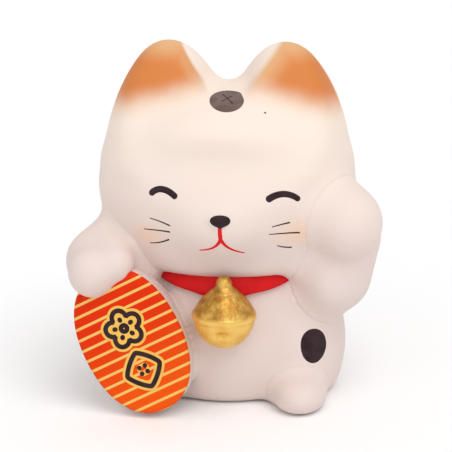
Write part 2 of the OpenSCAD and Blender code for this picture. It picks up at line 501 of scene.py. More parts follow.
@dataclass(frozen=True)
class Bisque:
    """Matt slip: warm white above, drifting to a pinkish painted shade below, with a fine grain and
    low sheen.
    """

    name: str
    white: Colour = (0.870, 0.742, 0.648, 1.0)
    # Painted shade: the darker pinkish tone that the lower part of the cat is coloured with.
    painted_shade_pink: Colour = (0.735, 0.612, 0.574, 1.0)
    orange: Colour = (0.64, 0.190, 0.030, 1.0)
    peach: Colour = (0.74, 0.425, 0.200, 1.0)
    cover: float = 0.97
    blush: Colour = (0.86, 0.56, 0.38, 1.0)
    grain_mm: float = 0.010
    roughness: float = 0.62

    def make(
        self, ears: Sequence[EarPaint] = (), cheeks: Sequence[Spray] = ()
    ) -> bpy.types.Material:
        """Builds the material.

        Args:
            ears: the paint on the ears.
            cheeks: patches of soft blush.

        Returns:
            The material.
        """
        s = Shader(self.name)
        # Painted shade: warm white at the top goes over to a darker pinkish tone towards the
        # bottom, its boundary made uneven by noise, standing in for less light below.
        cloud = s.math("MULTIPLY", s.noise(38.0, 2.0), 18.0)
        height = s.math("ADD", s.along((0.0, 0.0, 9.0), (0.0, 0.0, 1.0)), cloud)
        colour = s.mix(s.ramp(height, 96.0, 34.0), self.white, self.painted_shade_pink)
        for patch in cheeks:
            mask = s.spray(patch.centre, patch.radii, patch.turn, patch.soft)
            colour = s.mix(s.math("MULTIPLY", mask, patch.strength), colour, self.blush)
        for ear in ears:
            colour = self._spray_ear(s, ear, colour)
        s.bump(s.noise(1500.0, 2.0), self.grain_mm)
        return s.finish(colour, self.roughness, Specular_IOR_Level=0.3)

    def _spray_ear(self, s: Shader, ear: EarPaint, colour: object) -> bpy.types.NodeSocket:
        """Lays one ear's paint over a colour.

        Args:
            s: the material's node builder.
            ear: the ear's paint.
            colour: the colour below it.

        Returns:
            The painted colour's socket.
        """
        wobble = s.math("MULTIPLY_ADD", s.noise(170.0, 3.0), 1.6, -0.8)
        inner = s.along(ear.edge_point, ear.edge_normal)
        edge = s.ramp(inner, 0.3, 0.3 - ear.soft)
        foot = (ear.side.value * ear.foot_fall, 0.0, 1.0)
        rise = s.math("ADD", s.along((0.0, 0.0, ear.foot_z), foot), wobble)
        below = s.ramp(rise, -ear.fade, 1.5)
        front = s.ramp(s.along((0.0, -1.5, 0.0), (0.0, -1.0, 0.0)), -7.0, 1.5)
        tip = s.ramp(s.along((0.0, 0.0, ear.tip_z), (0.0, 0.0, 1.0)), -ear.tip_fade, 1.0)
        own = s.ramp(s.along((0.0, 0.0, 0.0), (ear.side.value, 0.0, 0.0)), 2.0, 4.0)
        thin = s.math("MULTIPLY", s.ramp(inner, -ear.thin_reach, -0.3), ear.thin_share)
        tip = s.math("MAXIMUM", tip, s.math("MAXIMUM", thin, s.ramp(below, 0.95, 0.1)))
        cover = s.math("MULTIPLY", s.math("MULTIPLY", edge, below), s.math("MULTIPLY", front, own))
        tint = s.mix(tip, self.orange, self.peach)
        return s.mix(s.math("MULTIPLY", cover, self.cover), colour, tint)


@dataclass(frozen=True)
class Paint:
    """Brushed-on colour: slightly uneven, with a low sheen."""

    name: str
    colour: Colour
    thin: Colour
    roughness: float = 0.5
    uneven_mm: float = 0.02

    def make(self) -> bpy.types.Material:
        """Builds the material.

        Returns:
            The material.
        """
        s = Shader(self.name)
        streak = s.ramp(s.noise(260.0, 4.0), 0.3, 0.75)
        colour = s.mix(streak, self.colour, self.thin)
        s.bump(s.noise(700.0, 3.0), self.uneven_mm)
        return s.finish(colour, self.roughness, Specular_IOR_Level=0.1)


@dataclass(frozen=True)
class GoldPaint:
    """Gold paint brushed over rough clay: fine ridges above the rim, smoother below it; above the
    rim, dark brownish blotches are a painted reflection.
    """

    name: str
    bright: Colour = (0.87, 0.565, 0.145, 1.0)
    deep: Colour = (0.74, 0.42, 0.075, 1.0)
    # Painted reflection: the dark brownish tone laid over the gold above the rim.
    painted_reflection_brown: Colour = (0.36, 0.150, 0.014, 1.0)
    rim_z: float = 30.0

    def make(self) -> bpy.types.Material:
        """Builds the material.

        Returns:
            The material.
        """
        s = Shader(self.name)
        stretched = s.node("Mapping", {"Vector": s.place, "Scale": (1.0, 1.0, 0.45),
                                       "Rotation": (0.0, math.radians(24.0), 0.0)}).outputs[0]
        ridges = s.noise(1050.0, 4.0, stretched)
        upper = s.ramp(s.along((0.0, 0.0, self.rim_z + 0.6), (0.0, 0.0, 1.0)), 0.0, 1.4)
        colour = s.mix(s.ramp(s.noise(240.0, 3.0), 0.3, 0.75), self.bright, self.deep)
        # Painted reflection: above the rim the gold is darkened in blotches to a brownish tone,
        # standing in for the dark surroundings that the cone would reflect.
        dark_reflection_mask = s.math("MULTIPLY", upper, s.ramp(s.noise(330.0, 3.0), 0.85, 0.25))
        colour = s.mix(dark_reflection_mask, colour, self.painted_reflection_brown)
        height = s.math("MULTIPLY", ridges, s.math("MULTIPLY_ADD", upper, 0.8, 0.5))
        s.bump(height, 0.24)
        return s.finish(colour, 0.40, Metallic=0.6, Specular_IOR_Level=0.4)


@dataclass(frozen=True)
class Transfer:
    """Printed transfer: vermilion at the top to orange at the foot, crossed by fine gold lines."""

    name: str
    centre: Triple
    turn: Triple
    top: Colour = (0.70, 0.028, 0.0015, 1.0)
    foot: Colour = (0.80, 0.085, 0.002, 1.0)
    line: Colour = (0.80, 0.50, 0.13, 1.0)
    pitch: float = 3.16
    line_width: float = 0.78
    phase: float = 0.5

    def make(self) -> bpy.types.Material:
        """Builds the material.

        Returns:
            The material.
        """
        s = Shader(self.name)
        local = s.local(self.centre, (1.0, 1.0, 1.0), self.turn)
        height = s.node("SeparateXYZ", {0: local}).outputs[2]
        fade = s.ramp(height, 9.0, -19.0)
        ground = s.mix(fade, self.top, self.foot)
        count = s.math("MULTIPLY", height, 1.0 / self.pitch)
        turns = s.math("FRACT", s.math("ADD", count, 20.0 + self.phase))
        distance = s.math("ABSOLUTE", s.math("SUBTRACT", turns, 0.5))
        half = self.line_width / self.pitch / 2.0
        stripe = s.ramp(distance, half + 0.02, half - 0.02)
        colour = s.mix(stripe, ground, self.line)
        s.bump(s.noise(900.0, 2.0), 0.004)
        return s.finish(colour, 0.55, Specular_IOR_Level=0.08)


@dataclass(frozen=True)
class SoftPlastic:
    """Cloudy soft plug material with a faint moulded grain."""

    name: str
    colour: Colour = (0.78, 0.77, 0.70, 1.0)

    def make(self) -> bpy.types.Material:
        """Builds the material.

        Returns:
            The material.
        """
        s = Shader(self.name)
        tone = s.mix(s.ramp(s.noise(120.0), 0.3, 0.7), self.colour, (0.72, 0.70, 0.62, 1.0))
        s.bump(s.noise(1800.0, 2.0), 0.01)
        return s.finish(tone, 0.4, Subsurface_Weight=0.15, Subsurface_Scale=0.003)


# ---------------------------------------------------------------- the cat's forms


@dataclass(frozen=True)
class Lump:
    """An ellipsoid of clay: its middle, its half axes and the fillet that joins it on."""

    centre: Triple
    radii: Triple
    fillet: float = 0.0

    def gap(self, p: Points) -> np.ndarray:
        """Gap to the lump."""
        return ellipsoid_gap(p, self.centre, self.radii)

    def onto(self, gap: np.ndarray, p: Points) -> np.ndarray:
        """Gap to a form with the lump joined on."""
        return join(gap, self.gap(p), self.fillet)


@dataclass
class Head:
    """Head casting: crown, jaw, brow and muzzle, with two ears cut from a taller egg."""

    cheek_rx: float = 38.2
    depth_ry: float = 33.0
    crown_rz: float = 26.0
    centre_x: float = -0.35
    centre_z: float = 62.6
    tilt: float = 0.3
    pivot_z: float = 45.0
    egg_rx: float = 36.9
    egg_rz: float = 49.8
    egg_z: float = 64.2
    ear_gap_x: float = 5.0
    ear_gap_z: float = 93.9
    ear_slope: float = 60.0
    ear_edge: float = 14.5
    valley: float = 3.8
    jaw: Lump = Lump((0.0, -2.0, 52.4), (34.5, 26.0, 32.0), 6.0)
    chin_z: float = 39.6
    chin_round: float = 4.0
    brow: Lump = Lump((0.0, -7.0, 77.5), (24.5, 22.4, 13.5), 8.5)
    muzzle: Lump = Lump((0.0, -27.0, 57.6), (11.0, 9.0, 7.0), 9.0)
    nose: Lump = Lump((0.0, -36.2, 60.2), (2.6, 1.5, 1.7), 1.6)
    eye_hollow: Lump = Lump((14.5, -37.3, 75.0), (19.0, 9.0, 6.8), 8.0)
    wall: float = 3.5
    slot_z: float = 74.0

    def upright(self, p: Points) -> Points:
        """Points brought into the head's own frame, turned back about y by the tilt.

        Args:
            p: points.

        Returns:
            The same points in that frame.
        """
        c, s = math.cos(math.radians(self.tilt)), math.sin(math.radians(self.tilt))
        x, z = p[..., 0] - self.centre_x, p[..., 2] - self.pivot_z
        return np.stack([c * x - s * z, p[..., 1], s * x + c * z + self.pivot_z], -1)

    def skull_gap(self, q: Points) -> np.ndarray:
        """Crown, jaw, brow and muzzle joined, with a shallow hollow over each eye.

        Args:
            q: points in the head's own frame.

        Returns:
            The gap at each point.
        """
        crown = (self.cheek_rx, self.depth_ry, self.crown_rz)
        gap = ellipsoid_gap(q, (0.0, 0.5, self.centre_z), crown)
        jaw = common(self.jaw.gap(q), self.chin_z - q[..., 2], self.chin_round)
        gap = join(gap, jaw, self.jaw.fillet)
        for lump in (self.brow, self.muzzle, self.nose):
            gap = lump.onto(gap, q)
        for p in (q, flipped(q)):
            gap = common(gap, -self.eye_hollow.gap(p), self.eye_hollow.fillet)
        return gap

    def ear_gap(self, q: Points) -> np.ndarray:
        """Top of the egg behind the brow, cut by an inner, a back, a front and a lower plane.

        Args:
            q: points in the head's own frame, flipped for the right ear.

        Returns:
            The gap at each point.
        """
        z, a = self.ear_gap_z, math.radians(self.ear_slope)
        radii = (self.egg_rx, self.depth_ry + 0.5, self.egg_rz)
        egg = ellipsoid_gap(q, (0.0, 0.5, self.egg_z), radii)
        inner = plane_gap(q, (self.ear_gap_x, -2.0, z), (-math.sin(a), -0.25, math.cos(a)))
        gap = common(egg, inner, self.ear_edge)
        gap = common(gap, plane_gap(q, (17.0, 8.0, z - 3.5), (0.0, 0.93, 0.36)), 6.0)
        gap = common(gap, plane_gap(q, (17.0, -14.5, z - 2.5), (0.10, -0.90, 0.42)), 3.0)
        return common(gap, self.centre_z + 6.0 - q[..., 2], 4.0)

    def gap(self, p: Points) -> np.ndarray:
        """Gap to the whole head.

        Args:
            p: points.

        Returns:
            The gap at each point.
        """
        q = self.upright(p)
        gap = join(self.skull_gap(q), self.ear_gap(flipped(q)), self.valley)
        return join(gap, self.ear_gap(q), self.valley)


@dataclass
class Torso:
    """Body casting: chest, belly, shoulders and hips on a flat base."""

    chest: Lump = Lump((0.0, 1.0, 24.0), (25.0, 26.5, 30.0))
    belly: Lump = Lump((0.0, -1.0, 10.0), (27.0, 23.5, 22.0), 8.0)
    shoulders: Lump = Lump((0.0, 0.0, 33.0), (30.0, 20.0, 13.0), 8.0)
    hip: Lump = Lump((19.3, -3.0, 14.4), (16.5, 21.0, 24.0), 5.0)
    base_round: float = 3.0
    wall: float = 3.5
    hole_r: float = 12.5
    recess_r: float = 16.5
    recess_depth: float = 2.4
    floor_z: float = 5.6

    def gap(self, p: Points) -> np.ndarray:
        """Gap to the torso, its foot edge rounded where it meets the table.

        Args:
            p: points.

        Returns:
            The gap at each point.
        """
        gap = self.shoulders.onto(self.belly.onto(self.chest.gap(p), p), p)
        side = np.stack([np.abs(p[..., 0]), p[..., 1], p[..., 2]], -1)
        return common(self.hip.onto(gap, side), -p[..., 2], self.base_round)


@dataclass
class RaisedArm:
    """The raised arm: elbow, forearm and the paw against the cheek."""

    paw: Lump = Lump((35.4, -17.5, 55.0), (10.5, 12.0, 10.9), 1.5)
    elbow: Lump = Lump((30.4, -13.0, 37.5), (7.8, 12.5, 10.0), 6.0)
    forearm_x: float = 35.4
    forearm_r: float = 10.2

    def gap(self, p: Points) -> np.ndarray:
        """Gap to the arm.

        Args:
            p: points.

        Returns:
            The gap at each point.
        """
        x, y, z = self.elbow.centre
        top = (self.forearm_x, y + 0.5, z + 12.0)
        forearm = limb_gap(p, (x + 2.5, y + 0.5, z + 0.5), top, self.forearm_r, self.forearm_r)
        return self.paw.onto(self.elbow.onto(forearm, p), p)


@dataclass
class LoweredArm:
    """The lowered arm, its paw over the tablet's top and its root filled in behind the tablet."""

    shoulder: Triple = (-28.2, -8.0, 51.8)
    shoulder_r: float = 7.7
    wrist: Triple = (-37.1, -14.0, 40.8)
    wrist_r: float = 8.8
    paw: Triple = (-36.8, -26.5, 41.0)
    paw_r: float = 7.3
    thumb: Triple = (-30.4, -26.5, 43.6)
    thumb_r: float = 5.4
    thumb_root_r: float = 6.0
    bridge: Triple = (-29.5, -17.5, 43.5)
    bridge_end: Triple = (-22.8, -18.0, 37.6)
    bridge_r: Pair = (6.0, 4.4)
    fillet: float = 4.0

    def gap(self, p: Points) -> np.ndarray:
        """Gap to the arm.

        Args:
            p: points.

        Returns:
            The gap at each point.
        """
        upper = limb_gap(p, self.shoulder, self.wrist, self.shoulder_r, self.wrist_r)
        lower = limb_gap(p, self.wrist, self.paw, self.wrist_r - 0.3, self.paw_r)
        arm = join(upper, lower, self.fillet)
        x, y, z = self.thumb
        root = (x - 3.0, y + 12.0, z + 3.0)
        thumb = limb_gap(p, root, self.thumb, self.thumb_root_r, self.thumb_r)
        arm = join(arm, thumb, 2.0)
        return join(arm, limb_gap(p, self.bridge, self.bridge_end, *self.bridge_r), self.fillet)


@dataclass
class Foot:
    """One foot."""

    side: Side
    centre: Triple = (22.8, -21.9, 4.4)
    radii: Triple = (8.0, 10.8, 6.7)

    def gap(self, p: Points) -> np.ndarray:
        """Gap to the foot, flat where it stands."""
        x, y, z = self.centre
        return common(ellipsoid_gap(p, (self.side.value * x, y, z), self.radii), -p[..., 2], 2.0)


@dataclass
class Tail:
    """Short curled tail: a stub that runs out from the back and turns up."""

    root: Triple = (3.0, 22.0, 7.0)
    bend: Triple = (12.0, 27.5, 8.0)
    tip: Triple = (17.5, 25.5, 16.0)
    radius: float = 5.2

    def gap(self, p: Points) -> np.ndarray:
        """Gap to the tail.

        Args:
            p: points.

        Returns:
            The gap at each point.
        """
        r = self.radius
        root = limb_gap(p, self.root, self.bend, r + 0.6, r)
        return join(root, limb_gap(p, self.bend, self.tip, r, r - 0.9), 3.0)


@dataclass
class TabletForm:
    """Thick oval slab that leans back, tips sideways and faces a little outwards."""

    centre: Triple = (-24.9, -28.2, 21.8)
    turn: Triple = (-8.0, -28.4, -6.0)
    rx: float = 14.9
    rz: float = 21.9
    thickness: float = 9.0
    square: float = 2.2
    edge: float = 1.1

    def axes(self) -> np.ndarray:
        """Matrix that turns the slab's own axes into place: about y, then x, then z.

        Returns:
            Array (3, 3).
        """
        (cx, cy, cz), (sx, sy, sz) = np.cos(np.radians(self.turn)), np.sin(np.radians(self.turn))
        about_y = np.array([[cy, 0, sy], [0, 1, 0], [-sy, 0, cy]])
        about_x = np.array([[1, 0, 0], [0, cx, -sx], [0, sx, cx]])
        about_z = np.array([[cz, -sz, 0], [sz, cz, 0], [0, 0, 1]])
        return about_z @ about_x @ about_y

    def at(self, across: np.ndarray, along: np.ndarray, out: np.ndarray) -> np.ndarray:
        """Points of the slab put in place, those below the table brought up to it.

        Args:
            across: distance across the slab.
            along: distance along it.
            out: distance out of its middle plane, towards its face.

        Returns:
            The points.
        """
        p = np.stack(np.broadcast_arrays(across, -out, along), -1) @ self.axes().T
        p += np.array(self.centre)
        p[..., 2] = np.maximum(p[..., 2], 0.0)
        return p

    def gap(self, p: Points) -> np.ndarray:
        """Gap to the slab: the larger of its oval's gap and its faces' gap, the edge rounded.

        Args:
            p: points.

        Returns:
            The gap at each point.
        """
        q = (p - np.array(self.centre)) @ self.axes()
        n, e = self.square, self.edge
        x, y, z = np.abs(np.moveaxis(q, -1, 0))
        a = (((x / self.rx) ** n + (z / self.rz) ** n) ** (1.0 / n) - 1.0) * self.rx + e
        b = y - self.thickness / 2.0 + e
        outside = np.hypot(np.maximum(a, 0.0), np.maximum(b, 0.0))
        return outside + np.minimum(np.maximum(a, b), 0.0) - e


@dataclass
class Cat:
    """The cat's members, and the one soft skin over them."""

    head: Head = field(default_factory=Head)
    torso: Torso = field(default_factory=Torso)
    raised: RaisedArm = field(default_factory=RaisedArm)
    lowered: LoweredArm = field(default_factory=LoweredArm)
    left_foot: Foot = field(default_factory=lambda: Foot(Side.LEFT))
    right_foot: Foot = field(default_factory=lambda: Foot(Side.RIGHT))
    tail: Tail = field(default_factory=Tail)
    tablet: TabletForm = field(default_factory=TabletForm)
    neck_fillet: float = 2.5
    raised_fillet: float = 8.0
    lowered_fillet: float = 3.0
    foot_fillet: float = 5.0
    tail_fillet: float = 3.0
    tablet_fillet: float = 5.0
    tablet_reach: float = 1.0
    reach_in: float = 4.5
    sink: float = 0.25
    slant: float = 0.6
    lead: float = 1.4

    def members(self) -> list[tuple[object, float]]:
        """Each member with the fillet that joins it to those before it.

        Returns:
            The members in the order in which they are joined.
        """
        return [(self.head, 0.0), (self.torso, self.neck_fillet), (self.raised, self.raised_fillet),
                (self.lowered, self.lowered_fillet), (self.left_foot, self.foot_fillet),
                (self.right_foot, self.foot_fillet), (self.tail, self.tail_fillet)]

    def skin(self, p: Points) -> np.ndarray:
        """Gap to the whole cat: the members' gaps joined in order, each with its own fillet."""
        return self._join([m.gap(p) for m, _ in self.members()])

    def _join(self, gaps: list[np.ndarray]) -> np.ndarray:
        """Joins the members' gaps in order.

        Args:
            gaps: each member's gap.

        Returns:
            The gap to them all.
        """
        total = gaps[0]
        for gap, (_, fillet) in zip(gaps[1:], self.members()[1:]):
            total = join(total, gap, fillet)
        return total

    def sunk(self, past: np.ndarray) -> np.ndarray:
        """How far a surface lies under the skin, for a distance past its own line."""
        return self.sink * ease(past) + self.slant * np.maximum(past, 0.0)

    def share(self, member: object) -> Gap:
        """The skin's stretch that belongs to one member.

        Past the line where another member is nearer, the surface sinks a little under the skin,
        and it closes a short way inside that neighbour. The limbs' lines lie a little way out on
        the head and the torso, so that the limbs carry their own fillets.

        Args:
            member: one of the cat's members.

        Returns:
            The gap function of that stretch as a closed form.
        """
        index = [m is member for m, _ in self.members()].index(True)

        def gap(p: Points) -> np.ndarray:
            """Gap to the stretch, sunk past its line and closed inside its neighbours.

            Args:
                p: points.

            Returns:
                The gap at each point.
            """
            gaps = [m.gap(p) for m, _ in self.members()]
            own, whole = gaps[index], self._join(gaps)
            if index < 2:
                others = np.minimum(gaps[1 - index], np.min(gaps[2:], axis=0) - self.lead + 0.3)
            else:
                others = np.min([g for i, g in enumerate(gaps) if i != index], axis=0) + self.lead
            reach = self.reach_in
            if member is self.torso:
                slab = self.tablet.gap(p)
                past = whole - slab - 0.8 * self.tablet_fillet
                whole = join(whole, slab, self.tablet_fillet) + self.sunk(past)
                reach += self.tablet_reach / (1.0 + (np.maximum(slab, 0.0) / 4.0) ** 2)
            return np.maximum(whole + self.sunk(own - others), own - reach)

        return gap


# ---------------------------------------------------------------- pieces


@dataclass
class Castings:
    """Builds the ceramic castings over the cat's skin."""

    cat: Cat
    bisque: bpy.types.Material
    painted: bpy.types.Material
    head_columns: int = 288
    head_step: float = 1.2
    rows_below: int = 71
    slot_half_rows: int = 2
    slot_half_columns: int = 24
    slot_lip: float = 0.5

    def build_head(self) -> bpy.types.Object:
        """Head shell: outer skin and chamber wall on one grid of rays, with throat and coin slot.

        Rows run down the chamber from its crown to the throat and up the outer skin to the
        crown. Both leave out the slot's block of faces, and a wall joins the two rims.

        Returns:
            The piece.
        """
        head, centre = self.cat.head, (0.0, 0.0, self.cat.head.slot_z)
        columns, step = self.head_columns, self.head_step
        low = -self.rows_below * step
        rows = int(round((90.0 - step - low) / step)) + 1
        rays = ray_grid(low, 90.0 - step, rows, columns)
        up = np.array([[[0.0, 0.0, 1.0]]])
        skin = self.cat.share(head)

        def chamber_gap(p: Points) -> np.ndarray:
            """Gap to the chamber: a wall inside the head."""
            return head.gap(p) + head.wall

        grid = np.concatenate([cast(centre, rays, chamber_gap)[::-1], cast(centre, rays, skin)])
        crown, chamber_crown = cast(centre, up, skin), cast(centre, up, chamber_gap)
        r0, r1 = self.rows_below - self.slot_half_rows, self.rows_below + self.slot_half_rows
        c0, c1 = columns // 4 - self.slot_half_columns, columns // 4 + self.slot_half_columns
        cols, band = np.arange(c0, c1), np.arange(r0, r1)
        keep = np.ones((2 * rows - 1, columns), bool)
        keep[np.ix_(rows + band, cols)] = False
        keep[np.ix_(rows - 2 - band, cols)] = False
        wide, tall = np.ones_like(cols), np.ones_like(band)
        loop_rows = np.concatenate([wide * r0, band, wide * r1, band[::-1] + 1])
        loop_cols = np.concatenate([cols, tall * c1, cols[::-1] + 1, tall * c0])
        rim = (rows + loop_rows) * columns + loop_cols
        inner = (rows - 1 - loop_rows) * columns + loop_cols
        wall = np.stack([rim, np.roll(rim, -1), np.roll(inner, -1), inner], -1)
        piece = grid_object("head_shell", grid, chamber_crown, crown, keep=keep, extra=wall)
        lip = piece.modifiers.new("slot_lip", "BEVEL")
        lip.width, lip.segments = self.slot_lip * MM, 2
        lip.limit_method, lip.angle_limit = "ANGLE", math.radians(60)
        dress(piece, self.painted, "bisque", "head_casting")
        return piece

    def build_torso(self) -> bpy.types.Object:
        """Body shell: skin from the base ring to the throat, chamber down to the floor, then bore
        and recess, in one grid that closes on itself.

        Returns:
            The piece.
        """
        torso, head = self.cat.torso, self.cat.head
        centre, columns = (0.0, 0.0, 18.0), 240
        base_angle = -math.degrees(math.atan2(centre[2], torso.recess_r))
        rays = ray_grid(base_angle, 62.0, 96, columns)
        outer = cast(centre, rays, self.cat.share(torso))

        def chamber_gap(p: Points) -> np.ndarray:
            """Gap to the chamber: a wall inside the torso, clear of the head, above the floor."""
            walls = np.maximum(torso.gap(p) + torso.wall, torso.wall - head.gap(p))
            return np.maximum(walls, torso.floor_z - p[..., 2])

        floor_angle = -math.degrees(math.atan2(centre[2] - torso.floor_z, torso.hole_r))
        chamber = cast(centre, ray_grid(62.0, floor_angle, 60, columns), chamber_gap)
        turn = np.radians(np.arange(columns) * 360.0 / columns)
        rings = [(torso.hole_r, torso.floor_z), (torso.hole_r, torso.recess_depth),
                 (torso.recess_r, torso.recess_depth), (torso.recess_r, 0.0)]
        edge = np.stack([np.stack([r * np.cos(turn), r * np.sin(turn), np.full(columns, z)], -1)
                         for r, z in rings])
        chamber[-1] = edge[0]
        outer[0] = edge[3]
        piece = grid_object("body_shell", np.concatenate([outer, chamber, edge[1:3]]), wrap=True)
        dress(piece, self.bisque, "bisque", "body_casting")
        return piece

    def build_member(self, name: str, member: object, centre: Triple, node: str,
                     rows: int = 110, columns: int = 180) -> bpy.types.Object:
        """A solid member on a grid of rays from its middle.

        Args:
            name: the piece's name.
            member: one of the cat's members.
            centre: a point inside the member.
            node: the node that it stands for.
            rows: rows of the grid.
            columns: columns of the grid.

        Returns:
            The piece.
        """
        step = 180.0 / (rows + 1)
        gap = self.cat.share(member)
        grid = cast(centre, ray_grid(-90.0 + step, 90.0 - step, rows, columns), gap)
        poles = cast(centre, np.array([[0.0, 0.0, -1.0], [0.0, 0.0, 1.0]]), gap)
        piece = grid_object(name, grid, poles[0], poles[1])
        dress(piece, self.bisque, "bisque", node)
        return piece

    def build(self) -> None:
        """Builds every casting."""
        cat = self.cat
        self.build_head()
        self.build_torso()
        self.build_member("raised_arm_casting", cat.raised, (33.5, -14.5, 45.0), "raised_arm")
        self.build_member("lowered_arm_casting", cat.lowered, (-35.0, -13.0, 42.0), "lowered_arm")
        small = {"rows": 70, "columns": 120}
        for foot in (cat.left_foot, cat.right_foot):
            (x, y, z), side = foot.centre, foot.side.name.lower()
            middle = (foot.side.value * x, y, z)
            self.build_member(f"{side}_foot_casting", foot, middle, f"{side}_foot", **small)
        self.build_member("tail_casting", cat.tail, (11.0, 26.0, 9.0), "tail", **small)


@dataclass
class Collar:
    """Red band in low relief round the neck, lowest at the front where the bell hangs."""

    cat: Cat
    paint: bpy.types.Material
    lower_z: float = 34.9
    steep: float = 18.0
    rise: float = 4.6
    lean: float = 0.5
    height: float = 6.6
    tuck: float = 2.4
    relief: float = 2.4
    root: float = 1.0
    dip: float = 0.9
    dip_half_width: float = 7.5

    def build(self) -> bpy.types.Object:
        """A rounded section carried round the chest.

        Each column of the grid is a direction from the neck's middle. Each row is a place on
        the section, a rounded rectangle: a height, and a distance out from the chest there. The
        band climbs from the front with a power of one less the cosine of the angle, levelled off
        by a hyperbolic tangent. It is taller under the chin, and dips on both sides of the bell.

        Returns:
            The piece.
        """
        columns, section = 260, 32
        turn = np.radians(np.arange(columns) * 360.0 / columns)[None, :]
        t = np.linspace(0.0, 2.0 * math.pi, section, endpoint=False)[:, None]
        high, out = boxy(np.sin(t), 0.5), boxy(np.cos(t), 0.5)
        toward = 1.0 + np.sin(turn)
        climb = self.rise * np.tanh(self.steep * toward**1.6 / self.rise) - self.lean * np.cos(turn)
        half = self.height / 2.0
        tuck = self.tuck * np.exp(-((toward / 0.5) ** 2)) * np.maximum(high, 0.0)
        side = np.cos(turn) * self.cat.torso.chest.radii[1] / self.dip_half_width
        dip = self.dip * np.exp(-(side**4)) * (toward < 1.0) * np.maximum(-high, 0.0)
        z = self.lower_z + half + climb + high * half + tuck - dip
        level = np.stack(np.broadcast_arrays(np.cos(turn), np.sin(turn), 0.0 * z), -1)
        axis = np.stack([0.0 * z, 0.0 * z, z], -1)
        chest = cast(axis, level, self.cat.torso.gap)
        stand = np.where(out > 0.0, out * self.relief, out * self.root) + 0.0 * z
        piece = grid_object("collar_band", chest + level * stand[..., None], wrap=True)
        dress(piece, self.paint, "collar_red", "collar")
        return piece


@dataclass
class Bell:
    """Round bell: a thumb-shaped knob, a bulging cone, a rim band and a round lower half."""

    gold: bpy.types.Material
    x: float = 1.2
    y: float = -30.0
    rim_z: float = 30.4
    radius: float = 9.3
    band: float = 1.0
    lower: tuple[float, float] = (8.9, 9.7)
    knob_r: float = 2.3
    cone_top: float = 7.5
    knob_top: float = 11.6
    press: float = 1.8

    def profile(self) -> np.ndarray:
        """Radius and height along the bell's side, from its foot to its knob.

        Returns:
            Array (n, 2): a quarter ellipse, the band's half ellipse, a cone bulged by a half
            sine, a flare that falls off as a power, and a half ellipse for the knob's top.
        """
        r, k = self.lower[0], self.knob_r
        a = np.radians(np.linspace(-87.0, -7.0, 44))
        lower = np.stack([r * np.cos(a), self.lower[1] * np.sin(a)], -1)
        b = np.linspace(-1.0, 1.0, 13)
        rim = np.stack([r + (self.radius - r) * np.sqrt(1.0 - b * b), self.band * b], -1)
        t = np.linspace(0.02, 0.97, 44)
        foot = k + 1.3
        cone = np.stack([r * (1.0 - t) + foot * t + 0.60 * np.sin(math.pi * t),
                         self.band + (self.cone_top - self.band) * t], -1)
        u = np.linspace(0.0, 1.0, 14)
        flare = np.stack([k + (foot - k) * (1.0 - u) ** 2.2, self.cone_top + 1.7 * u], -1)
        a = np.radians(np.linspace(6.0, 86.0, 22))
        base = self.cone_top + 1.7
        knob = np.stack([k * np.cos(a), base + (self.knob_top - base) * np.sin(a)], -1)
        return np.concatenate([lower, rim, cone, flare, knob])

    def build(self) -> bpy.types.Object:
        """The profile carried round the bell's axis, with a shallow mouth pressed in at the front.

        Returns:
            The piece.
        """
        columns = 180
        side = self.profile()
        turn = np.radians(np.arange(columns) * 360.0 / columns)[None, :]
        r, z = side[:, :1] + 0.0 * turn, side[:, 1:] + 0.0 * turn
        across = r * np.cos(turn)
        mouth = np.exp(-((across / 2.2) ** 2) - (((z + 3.8) / 1.1) ** 2)) * (np.sin(turn) < 0.0)
        r = r - self.press * mouth
        grid = np.stack([self.x + r * np.cos(turn), self.y + r * np.sin(turn), self.rim_z + z], -1)
        ends = np.array([[self.x, self.y, self.rim_z + side[i, 1]] for i in (0, -1)])
        piece = grid_object("bell_body", grid, ends[0], ends[1])
        dress(piece, self.gold, "bell_gold", "bell")
        return piece


# ---------------------------------------------------------------- paint


@dataclass(frozen=True)
class SkinPatch:
    """A place on the cat's skin seen square on: it lays flat shapes onto the skin."""

    cat: Cat
    centre: Triple
    azimuth: float
    rise: float

    def at(self, across: np.ndarray, along: np.ndarray, out: np.ndarray) -> np.ndarray:
        """Points on the skin, lifted off it along its normal.

        Each starts in front of the skin and steps inwards by the skin's gap until it lands.

        Args:
            across: distance to the patch's right.
            along: distance up it.
            out: height above the skin.

        Returns:
            The points.
        """
        a, e = math.radians(self.azimuth), math.radians(self.rise)
        face = np.array((math.sin(a) * math.cos(e), -math.cos(a) * math.cos(e), math.sin(e)))
        right = np.array((math.cos(a), math.sin(a), 0.0))
        up = np.cross(face, right)
        across, along, out = np.broadcast_arrays(across, along, out)
        p = np.array(self.centre) + across[..., None] * right + along[..., None] * up + 8.0 * face
        for _ in range(24):
            p = p - face * self.cat.skin(p)[..., None]
        return p + slope(self.cat.skin, p) * out[..., None]


def bezier(points: Sequence[Pair], count: int) -> np.ndarray:
    """Curve through its end points, pulled by those between: a sum of Bernstein polynomials.

    Args:
        points: control points.
        count: number of points on the curve, closer together at its ends.

    Returns:
        Array (count, 2).
    """
    n = len(points) - 1
    t = (1.0 - np.cos(np.linspace(0.0, math.pi, count))) / 2.0
    weights = np.stack([math.comb(n, i) * t**i * (1.0 - t) ** (n - i) for i in range(n + 1)], -1)
    return weights @ np.array(points)


def oval(a: np.ndarray, rx: float, rz: float) -> np.ndarray:
    """Radius of an ellipse at an angle: one over the root of (cos / rx) and (sin / rz) squared."""
    return 1.0 / np.sqrt((np.cos(a) / rx) ** 2 + (np.sin(a) / rz) ** 2)


